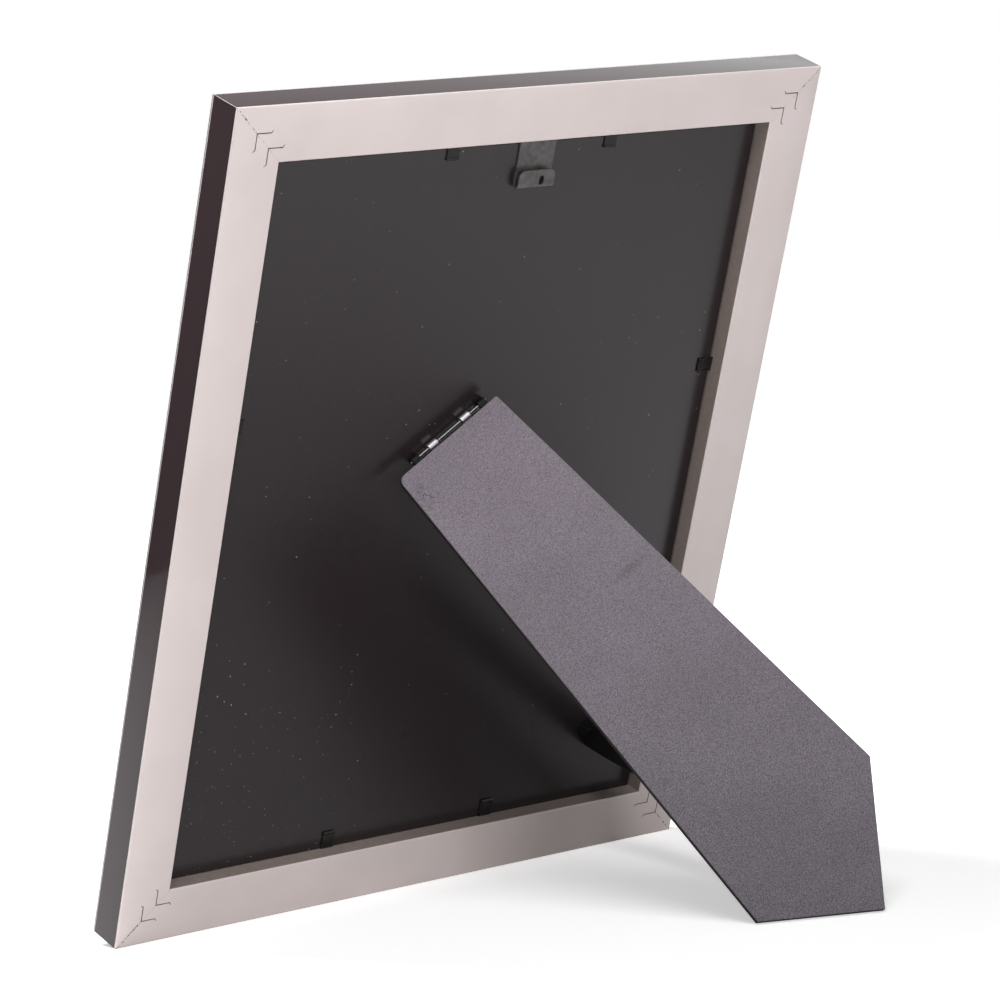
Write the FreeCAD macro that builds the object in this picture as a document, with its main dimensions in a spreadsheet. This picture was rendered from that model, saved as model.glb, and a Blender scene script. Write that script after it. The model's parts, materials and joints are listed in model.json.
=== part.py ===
import FreeCAD, Part
import math
import os
import re

import Sketcher
from FreeCAD import Matrix, Placement, Rotation, Vector

# An easel back photo frame for an 8 x 10 inch print, standing on its own strut.
#
# The frame is drawn upright: X runs along the bottom rail, Y runs out of the back, Z runs up the
# back, and the origin is the middle of the bottom rail's rear edge. The finished pieces are then
# leaned back together until that edge and the strut's foot both stand on the ground at Z = 0.
# Lengths are in millimetres and angles in degrees.

doc = FreeCAD.newDocument("EaselBackFrame")
sheet = doc.addObject("Spreadsheet::Sheet", "Sizes")


class Size:
    """A length or angle that keeps both its value and the expression it comes from."""

    def __init__(self, text, value):
        self.text = text
        self.value = float(value)

    def __add__(self, other):
        other = as_size(other)
        return Size(f"({self.text} + {other.text})", self.value + other.value)

    def __sub__(self, other):
        other = as_size(other)
        return Size(f"({self.text} - {other.text})", self.value - other.value)

    def __rsub__(self, other):
        return as_size(other) - self

    def __mul__(self, other):
        other = as_size(other)
        return Size(f"({self.text} * {other.text})", self.value * other.value)

    def __truediv__(self, other):
        other = as_size(other)
        return Size(f"({self.text} / {other.text})", self.value / other.value)

    def __neg__(self):
        return Size(f"(0 - {self.text})", -self.value)

    __radd__ = __add__
    __rmul__ = __mul__


def as_size(number):
    return number if isinstance(number, Size) else Size(f"{number:g}", number)


def sine(angle):
    return Size(f"sin({angle.text})", math.sin(math.radians(angle.value)))


def cosine(angle):
    return Size(f"cos({angle.text})", math.cos(math.radians(angle.value)))


ZERO = as_size(0)
rows = 0


def size(name, value, note):
    """Write one named value into the sheet and hand it back."""
    global rows
    rows += 1
    sheet.set(f"A{rows}", name)
    sheet.set(f"B{rows}", repr(float(value)))
    sheet.set(f"C{rows}", note)
    sheet.setAlias(f"B{rows}", name)
    return Size(f"Sizes.{name}", value)


# The picture and the moulding round it
sheet_width = size("sheet_width", 203.2, "8 inch print and backing board")
sheet_height = size("sheet_height", 254.0, "10 inch print and backing board")
side_room = size("side_room", 0.9, "board to rebate wall, each side")
top_room = size("top_room", 2.5, "board to the top rebate wall")
rail_width = size("rail_width", 19.0, "back face of a rail, outer edge to rebate wall")
rail_depth = size("rail_depth", 15.0, "moulding, front to back")
lip_width = size("lip_width", 6.0, "lip that holds the glass, past the rebate wall")
back_recess = size("back_recess", 6.0, "backing board below the rails' back faces")
edge_round = size("edge_round", 0.6, "round on the two back edges of a rail")
shoulder_round = size("shoulder_round", 2.0, "round from the outer side to the front face")
front_flat = size("front_flat", 14.0, "flat band of the front face")
front_step = size("front_step", 0.8, "quarter round step inside the flat band")
sight_drop = size("sight_drop", 2.0, "fall of the front face at the sight edge")

# What the rebate holds
glass_thickness = size("glass_thickness", 2.0, "picture glass")
glass_gap = size("glass_gap", 0.5, "glass to rebate wall, each side")
print_thickness = size("print_thickness", 0.3, "print sheet")
board_thickness = size("board_thickness", 3.0, "backing board")

# Corner nails
nail_thickness = size("nail_thickness", 0.6, "corner nail steel")
nail_leg = size("nail_leg", 6.3, "one leg of a corner nail")
nail_hook = size("nail_hook", 0.8, "turned end of a nail's leg")
nail_height = size("nail_height", 7.0, "corner nail, driven depth")
nail_outer = size("nail_outer", 8.6, "outer nail's apex from the rail's outer edge")
nail_inner = size("nail_inner", 13.7, "inner nail's apex from the rail's outer edge")

# Flex tabs
tab_width = size("tab_width", 5.0, "flex tab")
tab_thickness = size("tab_thickness", 0.5, "flex tab steel")
tab_flat = size("tab_flat", 5.0, "flat part of the tongue, from the rebate wall")
tab_curl = size("tab_curl", 2.2, "radius under the curled tip")
tab_curl_angle = size("tab_curl_angle", 40.0, "turn of the curled tip")
tab_root = size("tab_root", 7.0, "length driven into the rail")
tab_point = size("tab_point", 2.5, "pointed end of the root")
tab_top_left = size("tab_top_left", 29.0, "top tab left of the middle, seen from behind")
tab_top_right = size("tab_top_right", 37.0, "top tab right of the middle")
tab_bottom_left = size("tab_bottom_left", 34.0, "bottom tab left of the middle")
tab_bottom_right = size("tab_bottom_right", 35.0, "bottom tab right of the middle")
tab_left_up = size("tab_left_up", 36.0, "left tab above the middle")
tab_right_up = size("tab_right_up", 37.5, "right tab above the middle")

# Hanger clip
clip_width = size("clip_width", 15.0, "hanger strap")
clip_thickness = size("clip_thickness", 0.6, "hanger steel")
clip_right = size("clip_right", 5.9, "hanger right of the middle, seen from behind")
clip_front = size("clip_front", 10.0, "limb in front of the board")
clip_back = size("clip_back", 13.8, "strap behind the board, top edge to fold")
clip_fold = size("clip_fold", 0.8, "inner radius of the fold")
clip_flap = size("clip_flap", 5.0, "turned up flap above the fold")
clip_round = size("clip_round", 2.4, "round on the flap's corners")
slot_width = size("slot_width", 2.2, "nail slot in the flap")
slot_height = size("slot_height", 3.2, "nail slot in the flap")
slot_right = size("slot_right", 2.0, "nail slot right of the strap's middle")
slot_up = size("slot_up", 1.3, "nail slot's middle above the fold")

# The strut, its hinge and where they stand
pin_across = size("pin_across", 133.7, "hinge middle from the frame's right edge, seen from behind")
pin_up = size("pin_up", 172.6, "hinge middle above the frame's bottom edge")
strut_angle = size("strut_angle", 36.0, "strut's line from straight down, folded")
open_angle = size("open_angle", 49.8, "strut to backing board, ribbon taut")
lean = size("lean", 20.9, "frame from upright, standing tall")
lean_wide = size("lean_wide", 19.0, "frame from upright, standing wide")
pin_radius = size("pin_radius", 0.75, "hinge pin")
pin_clearance = size("pin_clearance", 0.05, "pin in its knuckles")
pin_overhang = size("pin_overhang", 0.5, "pin past the outer knuckles")
leaf_thickness = size("leaf_thickness", 0.8, "hinge leaf steel")
leaf_length = size("leaf_length", 15.0, "leaf, from the pin down")
leaf_round = size("leaf_round", 2.0, "leaf's lower corners")
board_leaf_width = size("board_leaf_width", 26.0, "leaf on the backing board")
board_knuckle = size("board_knuckle", 3.6, "width of a knuckle on the board's leaf")
board_knuckle_out = size("board_knuckle_out", 7.3, "its middle from the hinge's middle")
strut_leaf_width = size("strut_leaf_width", 33.0, "leaf on the strut")
strut_knuckle = size("strut_knuckle", 2.9, "width of a knuckle on the strut's leaf")
leaf_gap = size("leaf_gap", 0.4, "leaf's notch round the other leaf's knuckle")
rivet_radius = size("rivet_radius", 1.2, "rivet shank")
rivet_head = size("rivet_head", 2.2, "rivet head and clinch radius")
rivet_dome = size("rivet_dome", 0.5, "rivet head height")
rivet_clinch = size("rivet_clinch", 0.8, "depth of the flush clinch")
board_rivet_out = size("board_rivet_out", 8.5, "board's rivets from the hinge's middle")
strut_rivet_out = size("strut_rivet_out", 11.5, "strut's rivets from the hinge's middle")
rivet_down = size("rivet_down", 9.5, "rivets below the pin")
strut_core = size("strut_core", 3.0, "strut board")
strut_facing = size("strut_facing", 0.4, "flocked paper on the strut")
strut_top_width = size("strut_top_width", 44.1, "strut's top edge")
strut_taper = size("strut_taper", 3.56, "each side of the strut widens by this angle")
strut_drop = size("strut_drop", 1.8, "strut's top edge below the pin")
strut_left = size("strut_left", 3.0, "strut's middle left of the hinge's middle")
strut_round = size("strut_round", 1.6, "round on the strut's top corners")

# Ribbon stay and its staples
ribbon_width = size("ribbon_width", 12.0, "satin ribbon")
ribbon_thickness = size("ribbon_thickness", 0.4, "satin ribbon")
ribbon_board = size("ribbon_board", 160.0, "ribbon's fold on the board, below the pin")
ribbon_strut = size("ribbon_strut", 168.0, "ribbon's fold on the strut, below the pin")
ribbon_tab = size("ribbon_tab", 10.0, "end lying flat under a staple")
ribbon_bow = size("ribbon_bow", 10.0, "bow of the ribbon off the straight line")
soft_gap = size("soft_gap", 0.3, "ribbon clear of the strut and its staple")
staple_width = size("staple_width", 8.0, "staple across")
staple_wire = size("staple_wire", 0.6, "staple wire")
staple_leg = size("staple_leg", 2.2, "staple leg in the board")
staple_back = size("staple_back", 5.0, "staple from the ribbon's fold")
cut_over = size("cut_over", 3.0, "how far a cut runs past what it cuts")

# Sizes that follow
opening_width = sheet_width + 2 * side_room
opening_height = sheet_height + top_room
outer_width = opening_width + 2 * rail_width
outer_height = opening_height + 2 * rail_width
face_width = rail_width + lip_width
board_front = back_recess + board_thickness
lip_seat = board_front + print_thickness + glass_thickness
knuckle_radius = pin_radius + pin_clearance + leaf_thickness
bore_radius = pin_radius + pin_clearance
pin_depth = back_recess - knuckle_radius
strut_outer_face = knuckle_radius + strut_core
hinge_x = pin_across - outer_width / 2
board_top = rail_width + sheet_height


# Placements

stand = Placement()


def upright(x, y, z, turn=0.0):
    """A place in the upright frame, turned about Y."""
    base = Vector(as_size(x).value, as_size(y).value, as_size(z).value)
    return Placement(base, Rotation(Vector(0, 1, 0), turn))


def hinge_place():
    """The hinge's own frame: X along the pin, Y up the folded strut, Z out of the back."""
    sin_a = sine(strut_angle).value
    cos_a = cosine(strut_angle).value
    turn = Matrix(-cos_a, sin_a, 0, hinge_x.value,
                  0, 0, 1, -pin_depth.value,
                  sin_a, cos_a, 0, pin_up.value,
                  0, 0, 0, 1)
    return Placement(turn)


def on_board(across, down):
    """A place on the backing board, given along the pin and down the folded strut."""
    x = hinge_x - cosine(strut_angle) * across - sine(strut_angle) * down
    z = pin_up + sine(strut_angle) * across - cosine(strut_angle) * down
    return x, z


HINGE = hinge_place()
OPENED = HINGE.multiply(Placement(Vector(), Rotation(Vector(1, 0, 0), -open_angle.value)))


# The strut's foot
#
# The foot has two straight cuts, one for a tall and one for a wide picture. Each cut is the line
# where the open strut's inner face meets the ground on which the frame's rear edge also stands.

def ground_height(angle):
    """How far the rounded rear edge lifts the frame off its sharp corner."""
    swing = math.radians(angle.value)
    return edge_round.value * (math.cos(swing) + math.sin(swing) - 1)


def foot_line(up, origin, height):
    """Coefficients p, q, r of the foot cut p * across + q * down = r on the strut's inner face."""
    across = OPENED.Rotation.multVec(Vector(1, 0, 0))
    down = OPENED.Rotation.multVec(Vector(0, -1, 0))
    face = OPENED.multVec(Vector(0, 0, knuckle_radius.value))
    return across.dot(up), down.dot(up), height + origin.dot(up) - face.dot(up)


def meet(first, second):
    """The point where two lines p * across + q * down = r meet."""
    det = first[0] * second[1] - first[1] * second[0]
    across = (first[2] * second[1] - first[1] * second[2]) / det
    down = (first[0] * second[2] - first[2] * second[0]) / det
    return across, down


def side_line(side):
    """The strut's tapered side as a line; side is -1 on the left and 1 on the right."""
    slope = math.tan(math.radians(strut_taper.value))
    edge = side * (strut_top_width.value / 2 - slope * strut_drop.value) - strut_left.value
    return 1.0, -side * slope, edge


tall_up = Vector(0, -sine(lean).value, cosine(lean).value)
wide_up = Vector(cosine(lean_wide).value, -sine(lean_wide).value, 0)
tall_cut = foot_line(tall_up, Vector(), ground_height(lean))
wide_cut = foot_line(wide_up, Vector(-outer_width.value / 2, 0, 0), ground_height(lean_wide))
foot_left = meet(tall_cut, side_line(-1))
foot_tip = meet(tall_cut, wide_cut)
foot_right = meet(wide_cut, side_line(1))


def worked_point(name, point, note):
    across = size(f"{name}_across", point[0], f"{note}, along the pin")
    down = size(f"{name}_down", point[1], f"{note}, below the pin")
    return across, down


foot_left = worked_point("foot_left", foot_left, "worked out: foot's left corner")
foot_tip = worked_point("foot_tip", foot_tip, "worked out: foot's tip")
foot_right = worked_point("foot_right", foot_right, "worked out: foot's right corner")


# Building blocks

def new_body(label):
    body = doc.addObject("PartDesign::Body", label)
    body.Label = label
    body.AllowCompound = True
    return body


def new_sketch(body, plane, name, offset=ZERO):
    """A sketch on one of the body's origin planes, raised along that plane's normal."""
    sketch = body.newObject("Sketcher::SketchObject", f"{body.Label}_{name}")
    support = [f for f in body.Origin.OriginFeatures if f.Role == plane][0]
    sketch.AttachmentSupport = [(support, "")]
    sketch.MapMode = "FlatFace"
    sketch.setExpression("AttachmentOffset.Base.z", offset.text)
    return sketch


def bind(sketch, kind, geo, point, amount):
    """Hold one coordinate of a sketch point to a size."""
    index = sketch.addConstraint(Sketcher.Constraint(kind, -1, 1, geo, point, amount.value))
    sketch.setExpression(f"Constraints[{index}]", amount.text)


def arc_between(start, end, radius, turn):
    """An arc from start to end that bends left (turn 1) or right (turn -1), under a half circle."""
    chord = end - start
    half = chord.Length / 2
    rise = math.sqrt(max(radius * radius - half * half, 0.0))
    left = Vector(-chord.y, chord.x, 0).normalize()
    centre = (start + end) * 0.5 + left * (rise * turn)
    first = start if turn > 0 else end
    last = end if turn > 0 else start
    circle = Part.Circle(centre, Vector(0, 0, 1), radius)
    return Part.ArcOfCircle(circle, circle.parameter(first), circle.parameter(last))


def outline(sketch, corners):
    """Draw a closed outline. A corner is (x, y), or (x, y, radius, turn) for an arc that ends there."""
    count = len(corners)
    spots = [Vector(as_size(c[0]).value, as_size(c[1]).value, 0) for c in corners]
    pieces = []
    for index in range(count):
        corner = corners[(index + 1) % count]
        start = spots[index]
        end = spots[(index + 1) % count]
        if len(corner) == 2:
            geo = sketch.addGeometry(Part.LineSegment(start, end))
            pieces.append((geo, 1, 2))
            continue
        radius = as_size(corner[2])
        geo = sketch.addGeometry(arc_between(start, end, radius.value, corner[3]))
        hold = sketch.addConstraint(Sketcher.Constraint("Radius", geo, radius.value))
        sketch.setExpression(f"Constraints[{hold}]", radius.text)
        pieces.append((geo, 1, 2) if corner[3] > 0 else (geo, 2, 1))
    for index in range(count):
        geo, first, last = pieces[index]
        after, after_first, after_last = pieces[(index + 1) % count]
        sketch.addConstraint(Sketcher.Constraint("Coincident", geo, last, after, after_first))
        bind(sketch, "DistanceX", geo, first, as_size(corners[index][0]))
        bind(sketch, "DistanceY", geo, first, as_size(corners[index][1]))


def circle(sketch, x, y, radius):
    x, y = as_size(x), as_size(y)
    shape = Part.Circle(Vector(x.value, y.value, 0), Vector(0, 0, 1), radius.value)
    geo = sketch.addGeometry(shape)
    hold = sketch.addConstraint(Sketcher.Constraint("Radius", geo, radius.value))
    sketch.setExpression(f"Constraints[{hold}]", radius.text)
    bind(sketch, "DistanceX", geo, 3, x)
    bind(sketch, "DistanceY", geo, 3, y)


def rectangle(sketch, left, bottom, right, top):
    outline(sketch, [(left, bottom), (right, bottom), (right, top), (left, top)])


def pad(body, sketch, length, symmetric=False):
    feature = body.newObject("PartDesign::Pad", f"{sketch.Name}_pad")
    feature.Profile = sketch
    feature.setExpression("Length", length.text)
    feature.SideType = "Symmetric" if symmetric else "One side"
    doc.recompute()
    return feature


def pocket(body, sketch, depth=None, along_normal=False):
    """Cut the sketch through everything, or to a depth, and make sure that it cuts."""
    before = body.Shape.Volume
    feature = body.newObject("PartDesign::Pocket", f"{sketch.Name}_cut")
    feature.Profile = sketch
    if depth is None:
        feature.Type = "ThroughAll"
        feature.SideType = "Symmetric"
    else:
        feature.setExpression("Length", depth.text)
        feature.Reversed = along_normal
    doc.recompute()
    if not body.Shape.Volume < before:
        raise ValueError(f"{feature.Name} cuts nothing")
    return feature


def fillet(body, radius, wanted):
    """Round the edges whose middle point passes the test."""
    base = body.Tip
    names = []
    for number, edge in enumerate(base.Shape.Edges, start=1):
        middle = edge.valueAt((edge.FirstParameter + edge.LastParameter) / 2)
        if wanted(middle, edge):
            names.append(f"Edge{number}")
    if not names:
        raise ValueError(f"{body.Label} has no such edge to round")
    feature = body.newObject("PartDesign::Fillet", f"{body.Label}_round")
    feature.Base = (base, names)
    feature.setExpression("Radius", radius.text)
    doc.recompute()
    return feature


def close_to(first, second):
    return math.isclose(first, second, abs_tol=pin_clearance.value / 10)


nodes = []


def place(body, where):
    """Keep a finished piece, with its place in the upright frame."""
    nodes.append((body, where))


# Corner nails

def nail_outline(apex, to_sketch):
    """One V shaped nail seen from behind; to_sketch turns corner distances into sketch places."""
    inside = apex + nail_thickness
    tip = apex + nail_leg
    bend = tip - nail_hook
    hook = apex - nail_hook
    half = nail_thickness / 2
    points = [(apex, apex), (bend, apex), (tip - half, hook), (tip, hook + half),
              (bend + half, inside), (inside, inside), (inside, bend + half),
              (hook + half, tip), (hook, tip - half), (apex, bend)]
    return [to_sketch(across, up) for across, up in points]


# Rails
#
# A rail's own frame has X along the rail, Z from the outer edge inwards and Y out of the back.

def rail_profile(sketch):
    bead = lip_seat + (rail_depth - lip_seat) / 3
    outline(sketch, [
        (-edge_round, ZERO),
        (ZERO, edge_round, edge_round, 1),
        (ZERO, rail_width - edge_round),
        (-edge_round, rail_width, edge_round, 1),
        (-lip_seat, rail_width),
        (-lip_seat, face_width),
        (-bead, face_width),
        (-(rail_depth - sight_drop), face_width - (bead - lip_seat)),
        (-(rail_depth - front_step), shoulder_round + front_flat + front_step),
        (-rail_depth, shoulder_round + front_flat, front_step, -1),
        (-rail_depth, shoulder_round),
        (-(rail_depth - shoulder_round), ZERO, shoulder_round, 1),
    ])


def mitre_outlines(sketch, length):
    reach = face_width + cut_over
    for side in (-1, 1):
        end = length / 2
        outline(sketch, [
            (side * (end + cut_over), -cut_over),
            (side * (end + cut_over), reach),
            (side * (end - reach), reach),
        ])


def root_outline(sketch, x, wall):
    """A flex tab's root: a flat strip with a pointed end, driven in from the rebate wall."""
    half = tab_width / 2
    outline(sketch, [
        (x - half, wall),
        (x - half, wall - tab_root + tab_point),
        (x, wall - tab_root),
        (x + half, wall - tab_root + tab_point),
        (x + half, wall),
    ])


def make_rail(label, length, where, tab_places):
    body = new_body(label)
    profile = new_sketch(body, "YZ_Plane", "profile")
    rail_profile(profile)
    pad(body, profile, length, symmetric=True)
    mitres = new_sketch(body, "XZ_Plane", "mitres")
    mitre_outlines(mitres, length)
    pocket(body, mitres)
    nails = new_sketch(body, "XZ_Plane", "nail_slots")
    for side in (-1, 1):
        for apex in (nail_outer, nail_inner):
            outline(nails, nail_outline(apex, lambda a, u, s=side: (s * (length / 2 - a), u)))
    pocket(body, nails, nail_height, along_normal=True)
    slots = new_sketch(body, "XZ_Plane", "tab_slots", back_recess - tab_thickness)
    for x in tab_places:
        root_outline(slots, x, rail_width)
    pocket(body, slots, tab_thickness, along_normal=True)
    place(body, where)


RAILS = [
    ("rail_bottom", outer_width, upright(0, 0, 0), [tab_bottom_left, -tab_bottom_right]),
    ("rail_top", outer_width, upright(0, 0, outer_height, 180), [-tab_top_left, tab_top_right]),
    ("rail_left", outer_height, upright(outer_width / 2, 0, outer_height / 2, -90), [tab_left_up]),
    ("rail_right", outer_height, upright(-outer_width / 2, 0, outer_height / 2, 90), [-tab_right_up]),
]
for label, length, where, tab_places in RAILS:
    make_rail(label, length, where, tab_places)


def make_nails(label, side, top):
    """The two nails of one corner; side is 1 on the left seen from behind, top is True above."""
    def to_sketch(across, up):
        x = side * (outer_width / 2 - across)
        z = outer_height - up if top else up
        return x, z

    body = new_body(label)
    sketch = new_sketch(body, "XZ_Plane", "nails")
    for apex in (nail_outer, nail_inner):
        outline(sketch, nail_outline(apex, to_sketch))
    pad(body, sketch, nail_height)
    place(body, upright(0, 0, 0))


CORNERS = [
    ("corner_nails_top_left", 1, True),
    ("corner_nails_top_right", -1, True),
    ("corner_nails_bottom_left", 1, False),
    ("corner_nails_bottom_right", -1, False),
]
for label, side, top in CORNERS:
    make_nails(label, side, top)


# Glass, print sheet and backing board

def make_pane(label, width, height, thickness, depth):
    """A flat sheet standing on the bottom rail's rebate wall, its back at the given depth."""
    body = new_body(label)
    face = new_sketch(body, "XZ_Plane", "face", depth)
    rectangle(face, -width / 2, rail_width, width / 2, rail_width + height)
    pad(body, face, thickness)
    return body


glass_width = opening_width - 2 * glass_gap
glass_height = opening_height - 2 * glass_gap
glass = make_pane("glass", glass_width, glass_height, glass_thickness, board_front + print_thickness)
place(glass, upright(0, 0, 0))
print_sheet = make_pane("print_sheet", sheet_width, sheet_height, print_thickness, board_front)
place(print_sheet, upright(0, 0, 0))

board = make_pane("backing_board", sheet_width, sheet_height, board_thickness, back_recess)


def rivet_places(out):
    return [(-out, rivet_down), (out, rivet_down)]


def staple_holes(sketch, down, to_sketch):
    """The two square holes of a staple that lies across the strut's line."""
    half = staple_wire / 2
    for side in (-1, 1):
        far = side * staple_width / 2
        near = side * (staple_width / 2 - staple_wire)
        corners = [(far, down - half), (near, down - half), (near, down + half), (far, down + half)]
        outline(sketch, [to_sketch(across, place_down) for across, place_down in corners])


holes = new_sketch(board, "XZ_Plane", "rivet_holes", back_recess)
sinks = new_sketch(board, "XZ_Plane", "clinch_sinks", board_front)
for across, down in rivet_places(board_rivet_out):
    x, z = on_board(across, down)
    circle(holes, x, z, rivet_radius)
    circle(sinks, x, z, rivet_head)
pocket(board, holes)
pocket(board, sinks, rivet_clinch)
prick = new_sketch(board, "XZ_Plane", "staple_holes", back_recess)
staple_holes(prick, ribbon_board - staple_back, on_board)
pocket(board, prick, staple_leg, along_normal=True)
rest = new_sketch(board, "XZ_Plane", "clip_rest", board_front)
rectangle(rest, -clip_right - clip_width / 2, board_top - clip_front,
          -clip_right + clip_width / 2, board_top)
pocket(board, rest, clip_thickness)
place(board, upright(0, 0, 0))


# Hanger clip, hooked over the top edge of the backing board

def make_hanger():
    body = new_body("hanger_clip")
    back = back_recess - clip_thickness
    middle = back - clip_fold
    flap_in = middle - clip_fold
    flap_out = flap_in - clip_thickness
    fold = board_top - clip_back
    round_out = clip_fold + clip_thickness
    profile = new_sketch(body, "YZ_Plane", "profile")
    outline(profile, [
        (-board_front, board_top - clip_front),
        (-board_front + clip_thickness, board_top - clip_front),
        (-board_front + clip_thickness, board_top),
        (-back_recess, board_top),
        (-back_recess, fold),
        (-middle, fold - round_out, round_out, 1),
        (-flap_out, fold, round_out, 1),
        (-flap_out, fold + clip_flap),
        (-flap_in, fold + clip_flap),
        (-flap_in, fold),
        (-middle, fold - clip_fold, clip_fold, -1),
        (-back, fold, clip_fold, -1),
        (-back, board_top + clip_thickness),
        (-board_front, board_top + clip_thickness),
    ])
    pad(body, profile, clip_width, symmetric=True)
    slot = new_sketch(body, "XZ_Plane", "nail_slot", flap_out)
    end = (slot_height - slot_width) / 2
    side = slot_width / 2
    low = fold + slot_up - end
    high = fold + slot_up + end
    outline(slot, [
        (-slot_right + side, low, side, 1),
        (-slot_right + side, high),
        (-slot_right, high + side, side, 1),
        (-slot_right - side, high, side, 1),
        (-slot_right - side, low),
        (-slot_right, low - side, side, 1),
    ])
    pocket(body, slot, clip_thickness + clip_fold, along_normal=True)
    top = fold + clip_flap
    fillet(body, clip_round, lambda middle_point, edge: (
        close_to(middle_point.z, top.value)
        and close_to(abs(middle_point.x), clip_width.value / 2)
        and middle_point.y > -back.value))
    place(body, upright(-clip_right, 0, 0))


make_hanger()


# Hinge

def leaf_profile(sketch, lift):
    """A leaf rolled round the pin; lift is -1 with the plate on the board, 1 on the strut."""
    out, inner = knuckle_radius, bore_radius
    outline(sketch, [
        (-leaf_length, lift * out),
        (ZERO, lift * out),
        (out, ZERO, out, -lift),
        (ZERO, -lift * out, out, -lift),
        (-out, ZERO, out, -lift),
        (-inner, ZERO),
        (ZERO, -lift * inner, inner, lift),
        (inner, ZERO, inner, lift),
        (ZERO, lift * inner, inner, lift),
        (-leaf_length, lift * inner),
    ])


def make_leaf(label, lift, width, notches, rivet_out, where):
    body = new_body(label)
    profile = new_sketch(body, "YZ_Plane", "profile")
    leaf_profile(profile, lift)
    pad(body, profile, width, symmetric=True)
    gaps = new_sketch(body, "XY_Plane", "notches")
    for left, right in notches:
        rectangle(gaps, left, -(knuckle_radius + leaf_gap), right, knuckle_radius + cut_over)
    pocket(body, gaps)
    holes = new_sketch(body, "XY_Plane", "rivet_holes")
    for across, down in rivet_places(rivet_out):
        circle(holes, across, -down, rivet_radius)
    pocket(body, holes)
    fillet(body, leaf_round, lambda middle_point, edge: (
        close_to(middle_point.y, -leaf_length.value)
        and close_to(abs(middle_point.x), width.value / 2)))
    place(body, where)


knuckle_near = board_knuckle_out - board_knuckle / 2
knuckle_far = board_knuckle_out + board_knuckle / 2
board_half = board_leaf_width / 2
make_leaf("hinge_leaf_board", -1, board_leaf_width,
          [(-board_half - cut_over, -knuckle_far), (-knuckle_near, knuckle_near),
           (knuckle_far, board_half + cut_over)], board_rivet_out, HINGE)
strut_half = strut_leaf_width / 2
make_leaf("hinge_leaf_strut", 1, strut_leaf_width,
          [(strut_knuckle - strut_half, strut_half - strut_knuckle)], strut_rivet_out, OPENED)

pin = new_body("hinge_pin")
pin_face = new_sketch(pin, "YZ_Plane", "section")
circle(pin_face, ZERO, ZERO, pin_radius)
pad(pin, pin_face, strut_leaf_width + 2 * pin_overhang, symmetric=True)
place(pin, HINGE)


def make_rivets(label, lift, out, material, where):
    """Two flush clinched rivets; lift is -1 through the board, 1 through the strut."""
    body = new_body(label)
    leaf_face = bore_radius * lift
    head_face = (bore_radius - rivet_dome) * lift
    far_face = (knuckle_radius + material) * lift
    clinch = (knuckle_radius + material - rivet_clinch) * lift
    shank_length = knuckle_radius + material - bore_radius
    shanks = new_sketch(body, "XY_Plane", "shanks", leaf_face if lift > 0 else far_face)
    heads = new_sketch(body, "XY_Plane", "heads", head_face if lift > 0 else leaf_face)
    feet = new_sketch(body, "XY_Plane", "clinches", clinch if lift > 0 else far_face)
    for across, down in rivet_places(out):
        circle(shanks, across, -down, rivet_radius)
        circle(heads, across, -down, rivet_head)
        circle(feet, across, -down, rivet_head)
    pad(body, shanks, shank_length)
    pad(body, heads, rivet_dome)
    pad(body, feet, rivet_clinch)
    place(body, where)


make_rivets("hinge_rivets_board", -1, board_rivet_out, board_thickness, HINGE)
make_rivets("hinge_rivets_strut", 1, strut_rivet_out, strut_core, OPENED)


# Strut

def strut_outline(sketch):
    half = strut_top_width / 2
    outline(sketch, [
        (-strut_left - half, -strut_drop),
        (foot_left[0], -foot_left[1]),
        (foot_tip[0], -foot_tip[1]),
        (foot_right[0], -foot_right[1]),
        (-strut_left + half, -strut_drop),
    ])


def make_strut_layer(label, inner_face, thickness):
    body = new_body(label)
    face = new_sketch(body, "XY_Plane", "face", inner_face)
    strut_outline(face)
    pad(body, face, thickness)
    fillet(body, strut_round, lambda middle_point, edge: (
        close_to(middle_point.y, -strut_drop.value)
        and close_to(abs(middle_point.x + strut_left.value), strut_top_width.value / 2)))
    return body


strut = make_strut_layer("strut_board", knuckle_radius, strut_core)
holes = new_sketch(strut, "XY_Plane", "rivet_holes", knuckle_radius)
sinks = new_sketch(strut, "XY_Plane", "clinch_sinks", strut_outer_face)
for across, down in rivet_places(strut_rivet_out):
    circle(holes, across, -down, rivet_radius)
    circle(sinks, across, -down, rivet_head)
pocket(strut, holes)
pocket(strut, sinks, rivet_clinch)
prick = new_sketch(strut, "XY_Plane", "staple_holes", knuckle_radius)
staple_holes(prick, ribbon_strut - staple_back, lambda across, down: (across, -down))
pocket(strut, prick, staple_leg, along_normal=True)
place(strut, OPENED)
facing = make_strut_layer("strut_facing", strut_outer_face, strut_facing)
place(facing, OPENED)


# Ribbon stay and staples

def strut_to_board(down, height):
    """A place beside the open strut, as a place in the hinge's own frame (along Y and Z)."""
    y = height * sine(open_angle) - down * cosine(open_angle)
    z = down * sine(open_angle) + height * cosine(open_angle)
    return y, z


def flat_place(place):
    return Vector(place[0].value, place[1].value, 0)


def bow_circle(start, end):
    """Centre and radius of the arc over a chord whose middle stands off by the ribbon's bow."""
    chord = end - start
    bow = ribbon_bow.value
    radius = chord.Length * chord.Length / (8 * bow) + bow / 2
    away = Vector(-chord.y, chord.x, 0).normalize()
    return (start + end) * 0.5 - away * (radius - bow), radius


def leave_circle(centre, radius, place, way):
    """Where a line through a place, followed along its unit way, leaves a circle."""
    reach = (place - centre).dot(way)
    gap = (place - centre).dot(place - centre) - radius * radius
    return place + way * (math.sqrt(reach * reach - gap) - reach)


def ribbon_point(name, point):
    along = size(f"{name}_along", point.x, "worked out: inside of the ribbon's fold, up the strut")
    out = size(f"{name}_out", point.y, "worked out: inside of the ribbon's fold, out of the back")
    return along, out


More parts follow.
